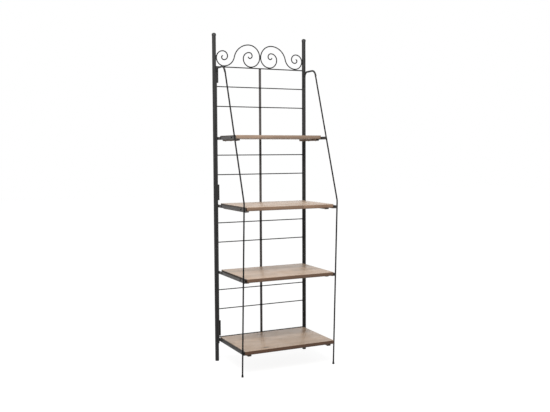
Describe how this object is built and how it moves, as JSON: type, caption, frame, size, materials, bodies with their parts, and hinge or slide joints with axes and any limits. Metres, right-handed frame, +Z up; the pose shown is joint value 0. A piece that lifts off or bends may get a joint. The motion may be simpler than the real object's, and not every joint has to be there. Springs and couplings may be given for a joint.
{
  "type": "bakers rack",
  "caption": "Tall open bakers rack: round posts and thin back rods under a scrolled top, hinged bent-rod side frames, and loose wooden shelves that lie in angle irons.",
  "frame": {"origin": "on the floor, midway between the posts and midway from the backs of the posts to the fronts of the side frames", "axes": "+X to the right for someone facing the rack, +Z up along the posts, and the open front faces -Y"},
  "size_m": [0.5726, 0.401, 1.803],
  "materials": {
    "frame_steel": "matt charcoal powder coat",
    "peg_steel": "matt black",
    "pin_steel": "satin black",
    "screw_steel": "dull zinc plate",
    "plug_plastic": "matt black",
    "tip_rubber": "matt black",
    "board_wood": "weathered, unvarnished",
    "cleat_wood": "dark stain"
  },
  "bodies": {
    "frame": {"angle_iron_left_1": "frame_steel", "angle_iron_left_2": "frame_steel", "angle_iron_left_3": "frame_steel", "angle_iron_left_4": "frame_steel", "angle_iron_right_1": "frame_steel", "angle_iron_right_2": "frame_steel", "angle_iron_right_3": "frame_steel", "angle_iron_right_4": "frame_steel", "back_post_left": "frame_steel", "back_post_right": "frame_steel", "back_rod_1": "frame_steel", "back_rod_2": "frame_steel", "back_rod_3": "frame_steel", "back_rod_4": "frame_steel", "back_rod_5": "frame_steel", "back_rod_6": "frame_steel", "back_rod_7": "frame_steel", "back_rod_8": "frame_steel", "bottom_rail": "frame_steel", "centre_bar": "frame_steel", "front_foot_left": "tip_rubber", "front_foot_right": "tip_rubber", "front_rod_left": "frame_steel", "front_rod_right": "frame_steel", "hinge_pins_left": "pin_steel", "hinge_pins_right": "pin_steel", "hinge_post_barrels_left": "frame_steel", "hinge_post_barrels_right": "frame_steel", "hinge_side_barrels_left": "frame_steel", "hinge_side_barrels_right": "frame_steel", "post_cap_left": "plug_plastic", "post_cap_right": "plug_plastic", "post_foot_left": "plug_plastic", "post_foot_right": "plug_plastic", "scroll_left": "frame_steel", "scroll_right": "frame_steel", "shelf_pegs_left": "peg_steel", "shelf_pegs_right": "peg_steel", "side_upright_left": "frame_steel", "side_upright_right": "frame_steel", "top_rail": "frame_steel"},
    "shelf_1": {"cleat_screws_1": "screw_steel", "shelf_board_1": "board_wood", "shelf_cleat_left_1": "cleat_wood", "shelf_cleat_right_1": "cleat_wood"},
    "shelf_2": {"cleat_screws_2": "screw_steel", "shelf_board_2": "board_wood", "shelf_cleat_left_2": "cleat_wood", "shelf_cleat_right_2": "cleat_wood"},
    "shelf_3": {"cleat_screws_3": "screw_steel", "shelf_board_3": "board_wood", "shelf_cleat_left_3": "cleat_wood", "shelf_cleat_right_3": "cleat_wood"},
    "shelf_4": {"cleat_screws_4": "screw_steel", "shelf_board_4": "board_wood", "shelf_cleat_left_4": "cleat_wood", "shelf_cleat_right_4": "cleat_wood"}
  },
  "joints": [
    {"name": "shelf_lift_1", "type": "slide", "parent": "frame", "child": "shelf_1", "axis": [0, 0, 1], "range_m": [0, 0.3]},
    {"name": "shelf_lift_2", "type": "slide", "parent": "frame", "child": "shelf_2", "axis": [0, 0, 1], "range_m": [0, 0.3]},
    {"name": "shelf_lift_3", "type": "slide", "parent": "frame", "child": "shelf_3", "axis": [0, 0, 1], "range_m": [0, 0.3]},
    {"name": "shelf_lift_4", "type": "slide", "parent": "frame", "child": "shelf_4", "axis": [0, 0, 1], "range_m": [0, 0.3]}
  ]
}
